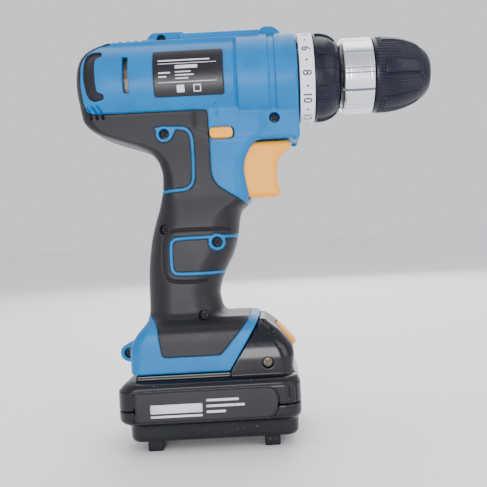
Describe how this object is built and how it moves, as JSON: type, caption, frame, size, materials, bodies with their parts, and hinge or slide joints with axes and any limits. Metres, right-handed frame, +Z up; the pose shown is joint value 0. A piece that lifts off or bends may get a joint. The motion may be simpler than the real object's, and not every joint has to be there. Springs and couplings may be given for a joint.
{
  "type": "cordless drill driver",
  "caption": "Pistol-grip cordless drill driver with keyless chuck, torque collar, speed and direction selectors, trigger and slide-on battery.",
  "frame": {"origin": "under the middle of the drill, on the plane of the battery's feet", "axes": "+X forward along the chuck, +Y to the left of someone holding it, +Z up through the handle; the drill stands on its battery"},
  "size_m": [0.172, 0.062, 0.2003],
  "materials": {
    "blue_plastic": "fine grain, satin",
    "soft_grip": "fine leather-like grain",
    "black_plastic": "satin",
    "gloss_black": "glossy",
    "orange_plastic": "satin",
    "white_plastic": "matte, with dark digits",
    "label_film": "printed film",
    "nylon": "glass-filled",
    "silver_metal": "bright plated",
    "steel": "machined",
    "sintered_steel": "sintered",
    "winding": "enamelled wire on a stacked core",
    "cell_can": "shrink sleeve",
    "board": "solder mask",
    "red_insulation": "insulated wire",
    "black_insulation": "insulated wire"
  },
  "bodies": {
    "housing": {"housing_right": "blue_plastic", "housing_left": "blue_plastic", "grip_right": "soft_grip", "grip_left": "soft_grip", "rating_plate": "label_film", "screw_top": "steel", "screw_nose": "steel", "screw_web": "steel", "screw_grip_rear": "steel", "screw_grip_front": "steel", "screw_grip_foot": "steel", "screw_ear": "steel", "motor_can": "steel", "motor_end_bell": "black_plastic", "gear_case": "nylon", "spindle_bearing": "steel", "clutch_spring": "steel", "switch_body": "black_plastic", "terminal_block": "black_plastic", "wire_motor_positive": "red_insulation", "wire_motor_negative": "black_insulation", "wire_battery_positive": "red_insulation", "wire_battery_negative": "black_insulation"},
    "rotor": {"armature": "winding", "motor_pinion": "steel"},
    "first_carrier": {"carrier_first": "sintered_steel"},
    "planet_1a": {"planet_first_a": "sintered_steel"},
    "planet_1b": {"planet_first_b": "sintered_steel"},
    "planet_1c": {"planet_first_c": "sintered_steel"},
    "output": {"spindle": "steel", "chuck_body": "steel", "chuck_rear_ring": "silver_metal", "chuck_screw": "steel"},
    "planet_2a": {"planet_second_a": "sintered_steel"},
    "planet_2b": {"planet_second_b": "sintered_steel"},
    "planet_2c": {"planet_second_c": "sintered_steel"},
    "sleeve": {"chuck_sleeve": "black_plastic", "chuck_nut": "steel"},
    "jaw_1": {"jaw_a": "steel"},
    "jaw_2": {"jaw_b": "steel"},
    "jaw_3": {"jaw_c": "steel"},
    "collar": {"clutch_collar": "black_plastic", "number_ring": "white_plastic"},
    "nut": {"clutch_nut": "nylon"},
    "selector": {"speed_selector": "orange_plastic", "shift_fork": "steel", "shift_ring_gear": "sintered_steel"},
    "direction": {"direction_bar": "orange_plastic"},
    "trigger_body": {"trigger": "orange_plastic"},
    "battery": {"battery_upper_case": "gloss_black", "battery_lower_case": "gloss_black", "battery_board": "board", "battery_label": "label_film", "cell_a": "cell_can", "cell_b": "cell_can", "cell_c": "cell_can", "battery_screw_right": "steel", "battery_screw_left": "steel"},
    "release": {"release_button": "orange_plastic"}
  },
  "joints": [
    {"name": "spindle_spin", "type": "hinge", "parent": "housing", "child": "output", "pos_m": [0, 0, 0.174], "axis": [1, 0, 0], "continuous": true},
    {"name": "first_carrier_spin", "type": "hinge", "parent": "housing", "child": "first_carrier", "pos_m": [0, 0, 0.174], "axis": [1, 0, 0], "continuous": true},
    {"name": "rotor_spin", "type": "hinge", "parent": "housing", "child": "rotor", "pos_m": [0, 0, 0.174], "axis": [1, 0, 0], "continuous": true},
    {"name": "planet_1a_spin", "type": "hinge", "parent": "first_carrier", "child": "planet_1a", "pos_m": [0, 0, 0.18345], "axis": [1, 0, 0], "continuous": true},
    {"name": "planet_1b_spin", "type": "hinge", "parent": "first_carrier", "child": "planet_1b", "pos_m": [0, -0.00818, 0.16928], "axis": [1, 0, 0], "continuous": true},
    {"name": "planet_1c_spin", "type": "hinge", "parent": "first_carrier", "child": "planet_1c", "pos_m": [0, 0.00818, 0.16928], "axis": [1, 0, 0], "continuous": true},
    {"name": "planet_2a_spin", "type": "hinge", "parent": "output", "child": "planet_2a", "pos_m": [0, 0, 0.18345], "axis": [1, 0, 0], "continuous": true},
    {"name": "planet_2b_spin", "type": "hinge", "parent": "output", "child": "planet_2b", "pos_m": [0, -0.00818, 0.16928], "axis": [1, 0, 0], "continuous": true},
    {"name": "planet_2c_spin", "type": "hinge", "parent": "output", "child": "planet_2c", "pos_m": [0, 0.00818, 0.16928], "axis": [1, 0, 0], "continuous": true},
    {"name": "chuck_sleeve_turn", "type": "hinge", "parent": "output", "child": "sleeve", "pos_m": [0, 0, 0.174], "axis": [-1, 0, 0], "range_deg": [0, 2160]},
    {"name": "jaw_1_slide", "type": "slide", "parent": "output", "child": "jaw_1", "axis": [0.9613, 0, -0.2756], "range_m": [0, 0.0175]},
    {"name": "jaw_2_slide", "type": "slide", "parent": "output", "child": "jaw_2", "axis": [0.9613, 0.2387, 0.1378], "range_m": [0, 0.0175]},
    {"name": "jaw_3_slide", "type": "slide", "parent": "output", "child": "jaw_3", "axis": [0.9613, -0.2387, 0.1378], "range_m": [0, 0.0175]},
    {"name": "torque_collar_turn", "type": "hinge", "parent": "housing", "child": "collar", "pos_m": [0, 0, 0.174], "axis": [1, 0, 0], "range_deg": [-272, 16]},
    {"name": "clutch_nut_slide", "type": "slide", "parent": "collar", "child": "nut", "axis": [1, 0, 0], "range_m": [-0.0045, 0.0003], "deforming": ["clutch_spring"]},
    {"name": "speed_shift", "type": "slide", "parent": "housing", "child": "selector", "axis": [-1, 0, 0], "range_m": [0, 0.004]},
    {"name": "direction_shift", "type": "slide", "parent": "housing", "child": "direction", "axis": [0, 1, 0], "range_m": [-0.003, 0.003]},
    {"name": "trigger_pull", "type": "slide", "parent": "housing", "child": "trigger_body", "axis": [-1, 0, 0], "range_m": [0, 0.006], "stiffness_N_per_m": 800, "springref_m": -0.002},
    {"name": "battery_slide", "type": "slide", "parent": "housing", "child": "battery", "axis": [1, 0, 0], "range_m": [0, 0.09]},
    {"name": "release_press", "type": "slide", "parent": "battery", "child": "release", "axis": [-0.7431, 0, -0.6691], "range_m": [0, 0.0025], "stiffness_N_per_m": 1000, "springref_m": -0.002}
  ],
  "couplings": [
    {"joint": "first_carrier_spin", "follows": "rotor_spin", "ratio": 0.22222},
    {"joint": "spindle_spin", "follows": "rotor_spin", "ratio": 0.049383},
    {"joint": "planet_1a_spin", "follows": "rotor_spin", "ratio": -0.62222},
    {"joint": "planet_1b_spin", "follows": "rotor_spin", "ratio": -0.62222},
    {"joint": "planet_1c_spin", "follows": "rotor_spin", "ratio": -0.62222},
    {"joint": "planet_2a_spin", "follows": "rotor_spin", "ratio": -0.13827},
    {"joint": "planet_2b_spin", "follows": "rotor_spin", "ratio": -0.13827},
    {"joint": "planet_2c_spin", "follows": "rotor_spin", "ratio": -0.13827},
    {"joint": "jaw_1_slide", "follows": "chuck_sleeve_turn", "m_per_rad": 0.0004642},
    {"joint": "jaw_2_slide", "follows": "chuck_sleeve_turn", "m_per_rad": 0.0004642},
    {"joint": "jaw_3_slide", "follows": "chuck_sleeve_turn", "m_per_rad": 0.0004642},
    {"joint": "clutch_nut_slide", "follows": "torque_collar_turn", "m_per_rad": 0.00092}
  ]
}
